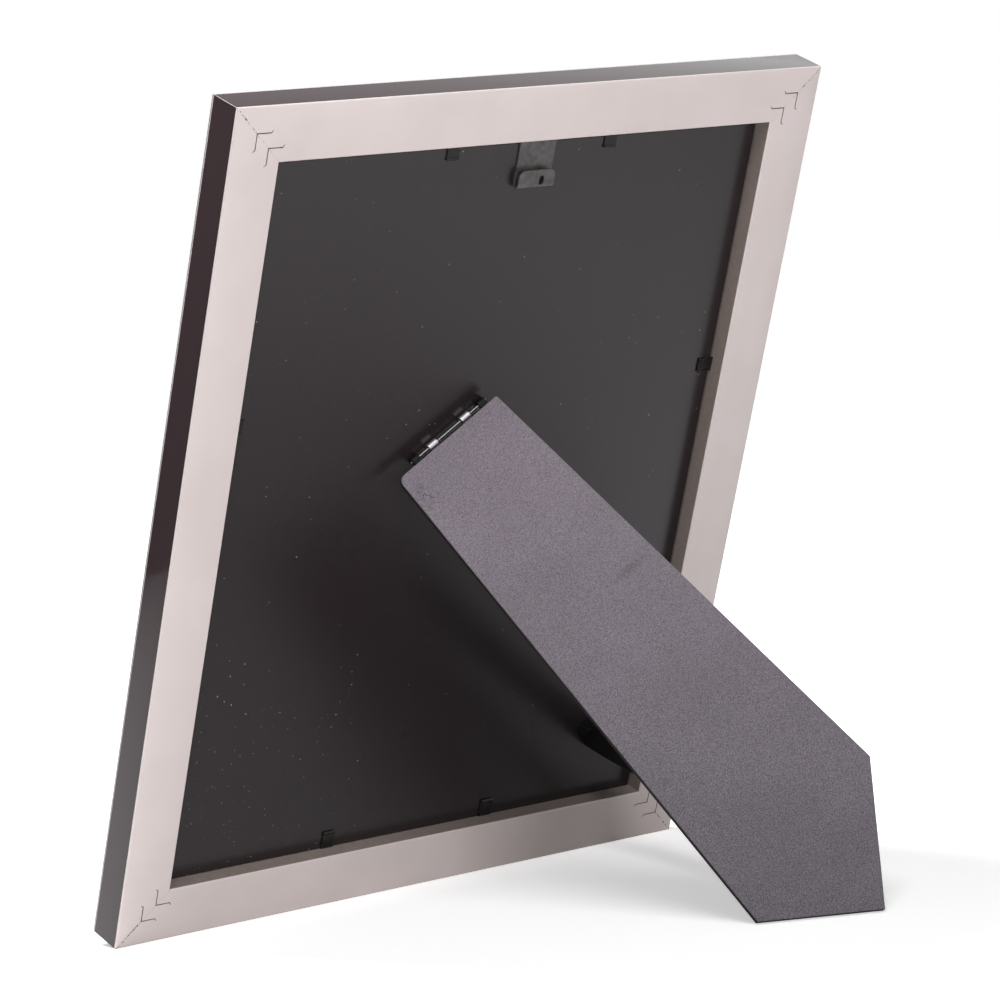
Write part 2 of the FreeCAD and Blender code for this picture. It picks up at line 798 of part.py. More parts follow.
def punch_ribbon(body, name, down, angle):
    """Holes for a staple's legs, square to the board (angle zero) or to the open strut."""
    sketch = new_sketch(body, "XY_Plane", name)
    sketch.AttachmentOffset = Placement(Vector(), Rotation(Vector(1, 0, 0), -angle.value))
    sketch.setExpression("AttachmentOffset.Rotation.Angle", (-angle).text)
    staple_holes(sketch, down, lambda across, place_down: (across, -place_down))
    pocket(body, sketch, knuckle_radius, along_normal=angle.value > 0)


def make_ribbon():
    body = new_body("ribbon_stay")
    low = -knuckle_radius
    high = low + ribbon_thickness
    near = knuckle_radius - soft_gap
    far = near - ribbon_thickness
    start = (-ribbon_board, low)
    end = strut_to_board(ribbon_strut, near)
    tail = strut_to_board(ribbon_strut - ribbon_tab, near)
    inner_tail = strut_to_board(ribbon_strut - ribbon_tab, far)
    centre, radius = bow_circle(flat_place(start), flat_place(end))
    outer = size("ribbon_radius", radius, "worked out: outer radius of the ribbon's bow")
    inner = outer - ribbon_thickness
    along_board = Vector(-1, 0, 0)
    along_strut = Vector(-cosine(open_angle).value, sine(open_angle).value, 0)
    board_fold = leave_circle(centre, inner.value, Vector(0, high.value, 0), along_board)
    strut_fold = leave_circle(centre, inner.value, flat_place(inner_tail), along_strut)
    inner_start = ribbon_point("board_fold", board_fold)
    inner_end = ribbon_point("strut_fold", strut_fold)
    profile = new_sketch(body, "YZ_Plane", "profile")
    outline(profile, [
        (-ribbon_board + ribbon_tab, low),
        start,
        (end[0], end[1], outer, -1),
        tail,
        inner_tail,
        inner_end,
        (inner_start[0], inner_start[1], inner, 1),
        (-ribbon_board + ribbon_tab, high),
    ])
    pad(body, profile, ribbon_width, symmetric=True)
    punch_ribbon(body, "board_punch", ribbon_board - staple_back, ZERO)
    punch_ribbon(body, "strut_punch", ribbon_strut - staple_back, open_angle)
    place(body, HINGE)
    chord = flat_place(end) - flat_place(start)
    arc = 2 * radius * math.asin(chord.Length / 2 / radius)
    print("ribbon length", round(arc + 2 * ribbon_tab.value, 1))


make_ribbon()


def make_staple(label, face, crown, lift, down, where):
    """A wire staple: face is what its legs enter, crown is the underside of its bridge."""
    body = new_body(label)
    half = staple_width / 2
    tip = face + lift * staple_leg
    top = crown - lift * staple_wire
    inside = half - staple_wire
    profile = new_sketch(body, "XZ_Plane", "profile", down - staple_wire / 2)
    outline(profile, [
        (-half, tip), (-half, top), (half, top), (half, tip),
        (inside, tip), (inside, crown), (-inside, crown), (-inside, tip),
    ])
    pad(body, profile, staple_wire)
    place(body, where)


make_staple("ribbon_staple_board", -knuckle_radius, -knuckle_radius + ribbon_thickness, -1,
            ribbon_board - staple_back, HINGE)
make_staple("ribbon_staple_strut", knuckle_radius,
            knuckle_radius - 2 * soft_gap - ribbon_thickness, 1,
            ribbon_strut - staple_back, OPENED)


# Flex tabs
#
# A tab is one strip of steel. Its root is driven into the rail and stays, and its tongue bends out
# at the rebate wall to free the board, so root and tongue are two pieces that meet at the bend.
# A tab's own frame has Z from the rebate wall over the board and Y out of the back.

TABS = [
    ("flex_tab_bottom_left", tab_bottom_left, rail_width, 0),
    ("flex_tab_bottom_right", -tab_bottom_right, rail_width, 0),
    ("flex_tab_top_left", tab_top_left, outer_height - rail_width, 180),
    ("flex_tab_top_right", -tab_top_right, outer_height - rail_width, 180),
    ("flex_tab_left", outer_width / 2 - rail_width, outer_height / 2 + tab_left_up, -90),
    ("flex_tab_right", rail_width - outer_width / 2, outer_height / 2 + tab_right_up, 90),
]


def make_tongue(label, x, z, turn):
    body = new_body(label)
    rise = 1 - cosine(tab_curl_angle)
    reach = sine(tab_curl_angle)
    inner = tab_curl - tab_thickness
    profile = new_sketch(body, "YZ_Plane", "profile")
    outline(profile, [
        (ZERO, ZERO),
        (tab_thickness, ZERO),
        (tab_thickness, tab_flat),
        (tab_thickness + inner * rise, tab_flat + inner * reach, inner, -1),
        (tab_curl * rise, tab_flat + tab_curl * reach),
        (ZERO, tab_flat, tab_curl, 1),
    ])
    pad(body, profile, tab_width, symmetric=True)
    place(body, upright(x, -back_recess, z, turn))


def make_roots(label, pieces):
    body = new_body(label)
    sketch = new_sketch(body, "XZ_Plane", "roots", back_recess - tab_thickness)
    for x, z, turn in pieces:
        half = tab_width / 2
        shape = [(-half, ZERO), (-half, -tab_root + tab_point), (ZERO, -tab_root),
                 (half, -tab_root + tab_point), (half, ZERO)]
        outline(sketch, [turned(x, z, turn, across, up) for across, up in shape])
    pad(body, sketch, tab_thickness)
    place(body, upright(0, 0, 0))


def turned(x, z, turn, across, up):
    """A place given in a tab's own frame, as a place in the upright frame."""
    if turn == 0:
        return x + across, z + up
    if turn == 180:
        return x - across, z - up
    if turn == 90:
        return x + up, z - across
    return x - up, z + across


for label, x, z, turn in TABS:
    make_tongue(label, x, z, turn)
make_roots("flex_tab_roots", [(x, z, turn) for label, x, z, turn in TABS])


# Stand the frame up: lean it back, set its rear edge and foot on Z = 0, and centre its box

doc.recompute()
leaned = Placement(Vector(), Rotation(Vector(1, 0, 0), -lean.value))
box = FreeCAD.BoundBox()
for body, where in nodes:
    shape = body.Shape.copy()
    shape.Placement = leaned.multiply(where)
    box.add(shape.optimalBoundingBox(False, False))
stand = Placement(Vector(-box.Center.x, -box.Center.y, -ground_height(lean)), leaned.Rotation)
for body, where in nodes:
    body.Placement = stand.multiply(where)
doc.recompute()


# Check every object, then write one file for each piece

for item in doc.Objects:
    if "Invalid" in item.State or "Error" in item.State:
        raise ValueError(f"{item.Name} failed: {item.State}")
for body, where in nodes:
    if body.Shape.isNull() or not body.Shape.isValid():
        raise ValueError(f"{body.Label} has no valid shape")
os.makedirs("parts", exist_ok=True)
for body, where in nodes:
    body.Shape.exportStep(f"parts/{body.Label}.step")

pin_middle = stand.multVec(HINGE.Base)
pin_line = stand.Rotation.multVec(HINGE.Rotation.multVec(Vector(1, 0, 0)))
print("pieces", len(nodes))
print("box", [round(side, 2) for side in (box.XLength, box.YLength, box.ZLength)], box.ZMin)
print("hinge at", pin_middle, "along", pin_line)
print("foot", [(round(p[0].value, 2), round(p[1].value, 2)) for p in (foot_left, foot_tip, foot_right)])
print("stand", stand)
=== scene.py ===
# %% [markdown]
# # An easel back photo frame, seen from behind
#
# This lesson dresses a photo frame that a CAD program has already built to size. The CAD pieces
# come in as fixed shapes. We keep the flat sheets and the small steel ones and give them a finish,
# and we model again the pieces where edges and surfaces decide the look: the mouldings, the corner
# nails, the strut and its ribbon.

# %% Load the frame
import json
import math

import bmesh
import bpy
from mathutils import Matrix, Vector


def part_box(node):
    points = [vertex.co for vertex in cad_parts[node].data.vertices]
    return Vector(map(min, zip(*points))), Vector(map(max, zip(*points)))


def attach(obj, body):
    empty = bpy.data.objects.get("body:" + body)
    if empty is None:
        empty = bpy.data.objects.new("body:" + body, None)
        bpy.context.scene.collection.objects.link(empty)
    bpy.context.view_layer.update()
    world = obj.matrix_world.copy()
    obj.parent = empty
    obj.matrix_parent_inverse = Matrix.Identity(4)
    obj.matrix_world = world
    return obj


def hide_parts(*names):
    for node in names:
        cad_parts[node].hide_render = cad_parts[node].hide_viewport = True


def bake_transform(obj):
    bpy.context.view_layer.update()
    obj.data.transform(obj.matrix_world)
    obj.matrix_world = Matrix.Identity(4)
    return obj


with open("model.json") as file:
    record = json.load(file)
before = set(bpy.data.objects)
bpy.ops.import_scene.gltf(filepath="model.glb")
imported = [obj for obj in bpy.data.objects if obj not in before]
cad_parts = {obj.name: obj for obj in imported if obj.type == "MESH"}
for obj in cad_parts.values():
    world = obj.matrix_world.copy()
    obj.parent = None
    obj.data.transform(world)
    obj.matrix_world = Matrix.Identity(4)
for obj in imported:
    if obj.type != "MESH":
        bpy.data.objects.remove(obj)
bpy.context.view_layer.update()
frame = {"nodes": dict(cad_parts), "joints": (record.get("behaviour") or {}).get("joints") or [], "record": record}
MM = 0.001

# %% [markdown]
# ## Three frames of reference
#
# The frame leans back on its strut, so its own edges are not along X, Y and Z. It is easier to
# model a rail upright and lean it back afterwards. The upright frame has X along the bottom rail,
# Y out of the back and Z up the back. The CAD record states a flat mount in the middle of the top
# rail's back face, and its direction gives the lean.
#
# The strut has a frame of its own at the hinge: X along the pin, Z out of the strut's outer face,
# and minus Y down the strut.

# %% The upright frame
wall_face = [mount for mount in frame["record"]["mounts"] if mount["name"] == "wall_face"][0]
RAIL_WIDTH = 19 * MM
RAIL_DEPTH = 15 * MM
OUTER_HEIGHT = 294.5 * MM
OUTER_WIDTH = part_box("rail_top")[1].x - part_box("rail_top")[0].x

across = Vector((1, 0, 0))
outwards = Vector(wall_face["axis"])
upwards = across.cross(outwards)
corner = Vector(wall_face["pos_m"]) - upwards * (OUTER_HEIGHT - RAIL_WIDTH / 2)


def frame_matrix(x_axis, y_axis, z_axis, origin):
    """A matrix that takes a place in the given axes to a place in the model."""
    matrix = Matrix((x_axis, y_axis, z_axis)).transposed().to_4x4()
    matrix.translation = origin
    return matrix


UPRIGHT = frame_matrix(across, outwards, upwards, corner)
lean = math.degrees(math.atan2(-outwards.z, outwards.y))
print("outer size", round(OUTER_WIDTH / MM, 1), "x", round(OUTER_HEIGHT / MM, 1), "mm, lean", round(lean, 1))

# %% The strut's frame
OPEN_ANGLE = math.radians(49.8)

strut_joint = [joint for joint in frame["joints"] if joint["name"] == "strut_fold"][0]
pin_line = Vector(strut_joint["axis"])
pin_middle = Vector(strut_joint["pos_m"])
FOLDED = frame_matrix(pin_line, outwards.cross(pin_line), outwards, pin_middle)
STRUT = FOLDED @ Matrix.Rotation(-OPEN_ANGLE, 4, "X")
print("hinge at", [round(value, 4) for value in pin_middle])

# %% [markdown]
# ## The camera
#
# The photograph was taken with a long lens from behind the frame, a little above it. Solving the
# frame's eight visible corners gives the place of the camera and its lens. A long lens far away
# keeps the sides of the frame almost parallel, which a short lens close by would not.

# %% Place the camera
CAMERA_PLACE = Vector((0.8609, 1.0834, 0.2853))
CAMERA_TARGET = Vector((0.0063, -0.0050, 0.1398))
CAMERA_ROLL = math.radians(-3.74)
# In millimetres, as on a real camera.
CAMERA_LENS = 151.4
CAMERA_SENSOR = 36
# What lies nearer or farther than this isn't drawn, in metres.
CLIP_NEAR = 0.05
CLIP_FAR = 50


def add_camera():
    data = bpy.data.cameras.new("camera")
    data.sensor_width = CAMERA_SENSOR
    data.lens = CAMERA_LENS
    data.clip_start = CLIP_NEAR
    data.clip_end = CLIP_FAR
    camera = bpy.data.objects.new("camera", data)
    bpy.context.scene.collection.objects.link(camera)
    look = (CAMERA_TARGET - CAMERA_PLACE).to_track_quat("-Z", "Y").to_matrix().to_4x4()
    roll = Matrix.Rotation(CAMERA_ROLL, 4, "Z")
    camera.matrix_world = Matrix.Translation(CAMERA_PLACE) @ look @ roll
    bpy.context.scene.camera = camera
    return camera


camera = add_camera()
print("camera is", round((CAMERA_TARGET - CAMERA_PLACE).length, 3), "m away")

# %% [markdown]
# ## Small helpers for materials
#
# Every finish below is one Principled shader with a few texture nodes in front of it. The helpers
# only save typing: `add_node` adds a node with its settings, and `link` joins two sockets. Most
# real surfaces differ a little from place to place, so `patches` turns a noise into a mask, and
# `vary_color` and `vary_roughness` use such a mask on the shader.

# %% Material helpers
def new_material(name, color, roughness, **sockets):
    material = bpy.data.materials.new(name)
    material.use_nodes = True
    shader = material.node_tree.nodes["Principled BSDF"]
    shader.inputs["Base Color"].default_value = (*color, 1)
    shader.inputs["Roughness"].default_value = roughness
    for socket, value in sockets.items():
        shader.inputs[socket.replace("_", " ")].default_value = value
    return material, shader


def add_node(material, kind, **settings):
    item = material.node_tree.nodes.new(kind)
    for setting, value in settings.items():
        if setting in item.bl_rna.properties:
            setattr(item, setting, value)
        else:
            item.inputs[setting.replace("_", " ")].default_value = value
    return item


def link(material, out_socket, in_socket):
    material.node_tree.links.new(out_socket, in_socket)


def object_coordinates(material):
    return add_node(material, "ShaderNodeTexCoord").outputs["Object"]


def noise(material, scale, detail=2, roughness=0.5):
    texture = add_node(material, "ShaderNodeTexNoise", Scale=scale, Detail=detail, Roughness=roughness)
    link(material, object_coordinates(material), texture.inputs["Vector"])
    return texture.outputs["Fac"]


def map_range(material, value, from_low, from_high, to_low, to_high):
    item = add_node(material, "ShaderNodeMapRange", From_Min=from_low, From_Max=from_high,
                    To_Min=to_low, To_Max=to_high)
    link(material, value, item.inputs["Value"])
    return item.outputs["Result"]


def patches(material, scale, detail=2, start=0.3, stop=0.7, low=0, high=1, roughness=0.5):
    """Noise as a mask: low where the noise is under start, and high where it is over stop."""
    return map_range(material, noise(material, scale, detail, roughness), start, stop, low, high)


def blend_colors(material, factor, first, second):
    """Mix two colours; each is a colour or a socket."""
    item = add_node(material, "ShaderNodeMix", data_type="RGBA")
    link(material, factor, item.inputs[0])
    for socket, value in ((item.inputs[6], first), (item.inputs[7], second)):
        if isinstance(value, bpy.types.NodeSocket):
            link(material, value, socket)
        else:
            socket.default_value = (*value, 1)
    return item.outputs[2]


def vary_color(material, shader, first, second, **mask):
    color = blend_colors(material, patches(material, **mask), first, second)
    link(material, color, shader.inputs["Base Color"])


def vary_roughness(material, shader, **mask):
    link(material, patches(material, **mask), shader.inputs["Roughness"])


def add_bump(material, shader, height, strength, distance):
    bump = add_node(material, "ShaderNodeBump", Strength=strength, Distance=distance)
    link(material, height, bump.inputs["Height"])
    link(material, bump.outputs["Normal"], shader.inputs["Normal"])


def maths(material, operation, first, second=None):
    """One step of arithmetic; each term is a number or a socket."""
    item = add_node(material, "ShaderNodeMath", operation=operation)
    for socket, value in ((item.inputs[0], first), (item.inputs[1], second)):
        if isinstance(value, bpy.types.NodeSocket):
            link(material, value, socket)
        elif value is not None:
            socket.default_value = value
    return item.outputs["Value"]


# %% Places inside a material
def frame_coordinates(material, matrix):
    """Object coordinates turned into one of our frames of reference, as a vector."""
    turn = matrix.inverted()
    mapping = add_node(material, "ShaderNodeMapping")
    mapping.inputs["Rotation"].default_value = turn.to_euler("XYZ")
    mapping.inputs["Location"].default_value = turn.to_translation()
    link(material, object_coordinates(material), mapping.inputs["Vector"])
    return mapping.outputs["Vector"]


def components(material, vector):
    split = add_node(material, "ShaderNodeSeparateXYZ")
    link(material, vector, split.inputs["Vector"])
    return split.outputs["X"], split.outputs["Y"], split.outputs["Z"]


def length_of(material, vector):
    item = add_node(material, "ShaderNodeVectorMath", operation="LENGTH")
    link(material, vector, item.inputs[0])
    return item.outputs["Value"]


def spot(material, vector, place, size):
    """1 at a place, fading to 0 where an ellipsoid of the given half sizes ends."""
    away = add_node(material, "ShaderNodeVectorMath", operation="SUBTRACT")
    away.inputs[1].default_value = place
    link(material, vector, away.inputs[0])
    shape = add_node(material, "ShaderNodeVectorMath", operation="DIVIDE")
    shape.inputs[1].default_value = size
    link(material, away.outputs["Vector"], shape.inputs[0])
    return map_range(material, length_of(material, shape.outputs["Vector"]), 0, 1, 1, 0)


# %% [markdown]
# ## Moulding finishes
#
# The moulding is wrapped in a dark foil on its front and outer sides. Its back is painted a pale
# warm grey. Where two rails meet at a mitre, the back shows a ragged hairline crack from the outer
# corner to the first nail, so the back paint gets a mask that is dark near the mitre line. The line
# is where the distance to the side edge equals the distance to the top or bottom edge, and a
# Mapping node first turns the leaning frame upright, so that the mask stays simple.

# %% The pale back of the moulding
BACK_COLOR = (0.600, 0.530, 0.522)
BACK_SHADE = (0.570, 0.500, 0.488)
CRACK_COLOR = (0.060, 0.040, 0.030)
CRACK_WIDTH = 0.34 * MM
# This share of the crack's width is fully dark.
CRACK_DARK_SHARE = 0.4
# The crack is open this far from the side edge, and fades to a faint line.
CRACK_LENGTH = 10 * MM
CRACK_FADE = 2 * MM
CRACK_FAINT = 0.22
# The upright frame again, with its origin in the middle of the back.
MIDDLE = UPRIGHT @ Matrix.Translation((0, 0, OUTER_HEIGHT / 2))


def mitre_crack(material):
    """A mask of the cracks at the four mitres."""
    x, y, z = components(material, frame_coordinates(material, MIDDLE))
    side = maths(material, "ABSOLUTE", x)
    end = maths(material, "ABSOLUTE", z)
    offset = maths(material, "SUBTRACT", side, end)
    offset = maths(material, "ADD", offset, (OUTER_HEIGHT - OUTER_WIDTH) / 2)
    offset = maths(material, "ABSOLUTE", offset)
    swell = patches(material, scale=600, start=0.35, stop=0.65, low=0.35, high=1.7)
    offset = maths(material, "DIVIDE", offset, swell)
    line = map_range(material, offset, CRACK_WIDTH * CRACK_DARK_SHARE, CRACK_WIDTH, 1, 0)
    ragged = patches(material, scale=1300, detail=3, start=0.46, stop=0.52)
    fade_from = OUTER_WIDTH / 2 - CRACK_LENGTH
    opening = map_range(material, side, fade_from, fade_from + CRACK_FADE, CRACK_FAINT, 1)
    return maths(material, "MULTIPLY", maths(material, "MULTIPLY", line, ragged), opening)


def make_back_paint():
    material, shader = new_material("moulding_back", BACK_COLOR, roughness=0.42, Specular_IOR_Level=0.45)
    cloud = patches(material, scale=38, detail=3, start=0.35, stop=0.65)
    paint = blend_colors(material, cloud, BACK_COLOR, BACK_SHADE)
    color = blend_colors(material, mitre_crack(material), paint, CRACK_COLOR)
    link(material, color, shader.inputs["Base Color"])
    add_bump(material, shader, noise(material, scale=1400), strength=0.08, distance=0.05 * MM)
    return material


back_paint = make_back_paint()
print("finish", back_paint.name)

# %% The brown board inside the rebate
WALL_COLOR = (0.216, 0.180, 0.161)
WALL_SHADE = (0.187, 0.152, 0.136)


def make_wall():
    material, shader = new_material("moulding_rebate", WALL_COLOR, roughness=0.7, Specular_IOR_Level=0.3)
    vary_color(material, shader, WALL_COLOR, WALL_SHADE, scale=420, detail=4)
    add_bump(material, shader, noise(material, scale=1100, detail=3), strength=0.2, distance=0.08 * MM)
    return material


rebate_wall = make_wall()
print("finish", rebate_wall.name)

# %% The dark foil of the outer sides
FOIL_COLOR = (0.044, 0.030, 0.033)
CORE_COLOR = (0.720, 0.670, 0.650)


def make_foil():
    material, shader = new_material("moulding_foil", FOIL_COLOR, roughness=0.07, Specular_IOR_Level=0.2)
    vary_roughness(material, shader, scale=120, low=0.05, high=0.09)
    add_bump(material, shader, noise(material, scale=260), strength=0.02, distance=0.05 * MM)
    return material


foil = make_foil()
core = new_material("moulding_core", CORE_COLOR, roughness=0.55)[0]
print("finish", foil.name, core.name)

# %% [markdown]
# ## Making a rail
#
# A real rail is a length of moulding sawn at 45 degrees. We draw the section once, extrude it, and
# round the long edges with a bevel while the ends are still square. Then we slant both ends by
# sliding their points along the rail, which gives the same shape as a saw and leaves no slivers.
# A rail's own frame has X along the rail, Y out of the back, and Z from the outer edge inwards.

# %% Mesh helpers
TOUCH = 0.01 * MM
# A rail's edges that turn by more than this look sharp, in degrees.
SHARP_ANGLE = 30


def near(value, wanted):
    return abs(value - wanted) < TOUCH


def to_object(name, bm, *materials):
    """Turn a bmesh into an object at the origin."""
    mesh = bpy.data.meshes.new(name)
    bm.to_mesh(mesh)
    bm.free()
    for material in materials:
        mesh.materials.append(material)
    piece = bpy.data.objects.new(name, mesh)
    bpy.context.scene.collection.objects.link(piece)
    return piece


def moved_points(extruded):
    """The points that an extrude operator made."""
    return [item for item in extruded["geom"] if isinstance(item, bmesh.types.BMVert)]


def extrude_outline(points, way):
    """A closed solid from a flat outline pushed along a vector."""
    bm = bmesh.new()
    face = bm.faces.new([bm.verts.new(point) for point in points])
    pushed = bmesh.ops.extrude_face_region(bm, geom=[face])
    bmesh.ops.translate(bm, verts=moved_points(pushed), vec=way)
    bmesh.ops.recalc_face_normals(bm, faces=bm.faces)
    return bm


def edges_where(bm, test):
    """Edges whose two ends both pass the test."""
    return [edge for edge in bm.edges if all(test(vert.co) for vert in edge.verts)]


def bevel(bm, edges, offset, segments, profile=0.5):
    """Round or cut back edges, and hand back the new faces."""
    made = bmesh.ops.bevel(bm, geom=edges, offset=offset, offset_type="OFFSET", affect="EDGES",
                           segments=segments, profile=profile, material=-1, clamp_overlap=True)
    return made["faces"]


def put_in_place(bm, matrix):
    bmesh.ops.transform(bm, matrix=matrix, verts=bm.verts)
    bmesh.ops.recalc_face_normals(bm, faces=bm.faces)


def smooth(piece, sharp_angle):
    """Shade a piece smooth, apart from the edges that turn by more than an angle in degrees."""
    for face in piece.data.polygons:
        face.use_smooth = True
    piece.data.set_sharp_from_angle(angle=math.radians(sharp_angle))


# %% The moulding's section
LIP_WIDTH = 6 * MM
LIP_SEAT = 11.3 * MM
FACE_WIDTH = RAIL_WIDTH + LIP_WIDTH
SIGHT_BEAD = 1.23 * MM
SIGHT_DROP = 2 * MM
FRONT_STEP = 0.8 * MM
FRONT_FLAT = 16 * MM
EDGE_ROUND = 0.6 * MM
SHOULDER_ROUND = 2 * MM

# Points as (out of the back, from the outer edge inwards).
SECTION = [
    (0, 0),
    (0, RAIL_WIDTH),
    (-LIP_SEAT, RAIL_WIDTH),
    (-LIP_SEAT, FACE_WIDTH),
    (-LIP_SEAT - SIGHT_BEAD, FACE_WIDTH),
    (-RAIL_DEPTH + SIGHT_DROP, FACE_WIDTH - SIGHT_BEAD),
    (-RAIL_DEPTH + FRONT_STEP, FRONT_FLAT + FRONT_STEP),
    (-RAIL_DEPTH, FRONT_FLAT + FRONT_STEP),
    (-RAIL_DEPTH, 0),
]


def mitre(bm, length):
    """Slant both square ends to 45 degrees, so that the rail is shorter on its inner side."""
    for vert in bm.verts:
        vert.co.x = math.copysign(length / 2 - vert.co.z, vert.co.x)


def rail_mesh(length):
    bm = extrude_outline([(-length / 2, y, z) for y, z in SECTION], (length, 0, 0))

    def long_edge(y, z):
        return edges_where(bm, lambda co: near(co.y, y) and near(co.z, z))

    bevel(bm, long_edge(0, 0) + long_edge(0, RAIL_WIDTH), EDGE_ROUND, segments=4)
    bevel(bm, long_edge(-RAIL_DEPTH, 0), SHOULDER_ROUND, segments=8)
    bevel(bm, long_edge(-RAIL_DEPTH, FRONT_FLAT + FRONT_STEP), FRONT_STEP, segments=5, profile=0.1)
    mitre(bm, length)
    return bm


sample = rail_mesh(OUTER_WIDTH)
print("a rail has", len(sample.faces), "faces")
sample.free()

# %% [markdown]
# ## Foil here, paint there
#
# One mesh carries four materials. A face belongs to the back paint when it looks out of the back,
# to the bare brown board when it looks into the rebate, and to the foil otherwise. The sharp outer
# corner of each mitre is taken off a little, which shows the pale core of the moulding as a thin
# light line.

# %% Build the four rails
RAIL_MATERIALS = (back_paint, foil, core, rebate_wall)
BACK, FOIL, CORE, WALL = range(len(RAIL_MATERIALS))
# A face with at least this much of its normal out of the back is painted.
PAINTED_FROM = 0.35
MITRE_ROUND = 0.28 * MM
# What lies less than this off a surface counts as on it.
SKIN = 0.1 * MM
# Points closer than this are one point.
WELD = 0.002 * MM


def give_rail_materials(bm):
    bm.normal_update()
    for face in bm.faces:
        middle = face.calc_center_median()
        into_rebate = middle.z > RAIL_WIDTH - EDGE_ROUND and middle.y > -LIP_SEAT - SKIN
        if face.normal.y > PAINTED_FROM:
            face.material_index = BACK
        else:
            face.material_index = WALL if into_rebate else FOIL


def soften_mitres(bm, length):
    """Take the sharp corner off the outer edge of both slanted ends."""
    def on_outer_end(co):
        return near(length / 2 - abs(co.x), co.z) and co.z < SKIN

    rims = [edge for edge in edges_where(bm, on_outer_end)
            if any(face.material_index == FOIL for face in edge.link_faces)]
    for face in bevel(bm, rims, MITRE_ROUND, segments=2):
        face.material_index = CORE


def weld(bm):
    bmesh.ops.remove_doubles(bm, verts=bm.verts, dist=WELD)
    bmesh.ops.dissolve_degenerate(bm, dist=WELD, edges=bm.edges)


def make_rail(name, length, where):
    bm = rail_mesh(length)
    give_rail_materials(bm)
    soften_mitres(bm, length)
    weld(bm)
    put_in_place(bm, UPRIGHT @ where)
    rail = to_object(name + "_moulding", bm, *RAIL_MATERIALS)
    smooth(rail, SHARP_ANGLE)
    return rail


def turned(x, z, degrees):
    """Where the middle of a rail's outer edge lies on the upright frame, and the rail's turn."""
    return Matrix.Translation((x, 0, z)) @ Matrix.Rotation(math.radians(degrees), 4, "Y")


RAILS = {
    "rail_bottom": (OUTER_WIDTH, turned(0, 0, 0)),
    "rail_top": (OUTER_WIDTH, turned(0, OUTER_HEIGHT, 180)),
    "rail_left": (OUTER_HEIGHT, turned(OUTER_WIDTH / 2, OUTER_HEIGHT / 2, -90)),
    "rail_right": (OUTER_HEIGHT, turned(-OUTER_WIDTH / 2, OUTER_HEIGHT / 2, 90)),
}
rails = {}
for name, (length, where) in RAILS.items():
    rails[name] = make_rail(name, length, where)
    print(name, len(rails[name].data.polygons), "faces")

# %% [markdown]
# ## Corner nails in their slots
#
# Each corner holds two V shaped nails, driven in from the back until they are flush. What the eye
# sees is a thin dark line with a turned end on each leg. We draw the V once, and each of the two
# rails gets a slot for its own leg, cut with a boolean and a little larger than the steel. The slot
# runs on past the mitre, so that no wall of it ends right on the slanted face. The steel stands just
# under the surface, and the dark line is then a real gap with a real shadow.

# %% The V outline
NAIL_THICKNESS = 0.32 * MM
NAIL_LEG = 6.3 * MM
NAIL_HOOK = 0.8 * MM
NAIL_HEIGHT = 7 * MM
# How far the point of each V stands from the corner's two outer edges.
NAIL_APEXES = (8.74 * MM, 13.84 * MM)
NAIL_SUNK = 0.07 * MM
SLOT_ROOM = 0.03 * MM
SLOT_PAST_MITRE = 1.5 * MM


def nail_outline(apex, room=0.0):
    """The V in distances from a corner's two outer edges, grown by some room on every side."""
    inside = apex + NAIL_THICKNESS + room
    apex = apex - room
    tip = apex + NAIL_LEG + 2 * room
    bend = tip - NAIL_HOOK
    hook = apex - NAIL_HOOK
    half = NAIL_THICKNESS / 2
    return [(apex, apex), (bend, apex), (tip - half, hook), (tip, hook + half),
            (bend + half, inside), (inside, inside), (inside, bend + half),
            (hook + half, tip), (hook, tip - half), (apex, bend)]


def slot_outline(apex, in_side_rail):
    """The leg of the V that one rail holds, with room round it, run on past the mitre."""
    # The first six points go round the leg that the top or bottom rail holds.
    leg = nail_outline(apex, SLOT_ROOM)[:6]
    leg[0] = (apex - SLOT_PAST_MITRE, leg[0][1])
    leg[-1] = (apex - SLOT_PAST_MITRE, leg[-1][1])
    return [(up, inward) for inward, up in leg] if in_side_rail else leg


# For each corner: 1 on the left or -1 on the right, and whether it is at the top.
CORNERS = {
    "top_left": (1, True), "top_right": (-1, True),
    "bottom_left": (1, False), "bottom_right": (-1, False),
}


def corner_prism(side, top, outline, start, end):
    """An outline at one corner as a solid, from one depth to another."""
    points = []
    for inward, up in outline:
        x = side * (OUTER_WIDTH / 2 - inward)
        points.append((x, start, OUTER_HEIGHT - up if top else up))
    bm = extrude_outline(points, (0, end - start, 0))
    put_in_place(bm, UPRIGHT)
    return bm


print("a nail's leg is", round(NAIL_LEG / MM, 1), "mm long")

# %% Cut the slots
# Faces that turn by less than this are one flat face, in degrees.
FLAT_ANGLE = 1


def join_into(bm, other):
    """Add another bmesh's faces to this one."""
    mesh = bpy.data.meshes.new("joined")
    other.to_mesh(mesh)
    other.free()
    bm.from_mesh(mesh)
    bpy.data.meshes.remove(mesh)


